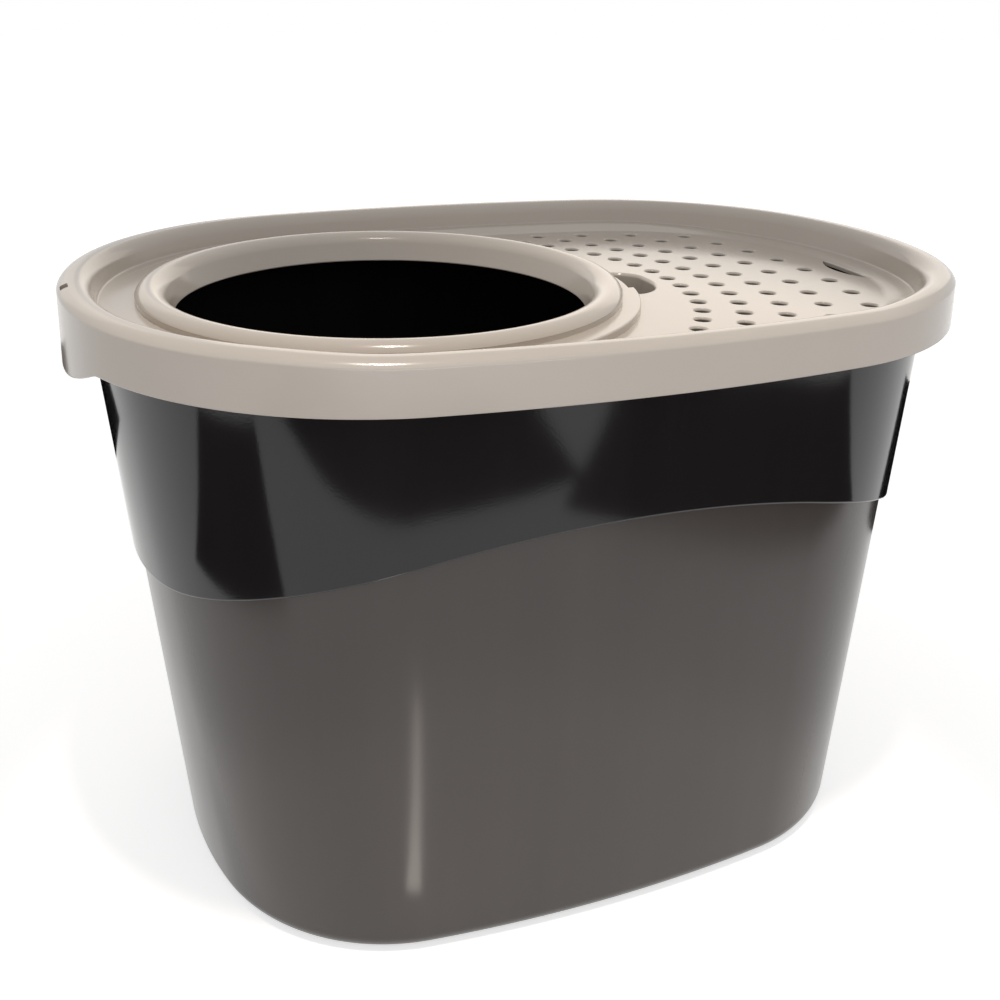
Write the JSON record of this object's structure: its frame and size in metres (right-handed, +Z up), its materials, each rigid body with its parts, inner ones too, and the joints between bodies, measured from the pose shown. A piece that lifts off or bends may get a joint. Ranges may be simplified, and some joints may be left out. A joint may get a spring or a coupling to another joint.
{
  "type": "top entry litter box",
  "caption": "Deep oval tub with a drop-over tray lid: raised round entry collar at one end, perforated deck, hand notch and crescent slot at the other, pull lugs at the ends.",
  "frame": {"origin": "centre of the tub's flat underside, on the floor", "axes": "+X along the length towards the perforated end of the lid, +Y across to the side away from the hand notch's offset, +Z up"},
  "size_m": [0.52, 0.3654, 0.3468],
  "materials": {
    "tub": "glossy pearl charcoal",
    "lid": "satin warm grey"
  },
  "bodies": {
    "tub": {"tub": "tub"},
    "lid": {"lid": "lid"}
  },
  "joints": [
    {"name": "lid_lift", "type": "slide", "parent": "tub", "child": "lid", "axis": [0, 0, 1], "range_m": [0, 0.06]}
  ]
}
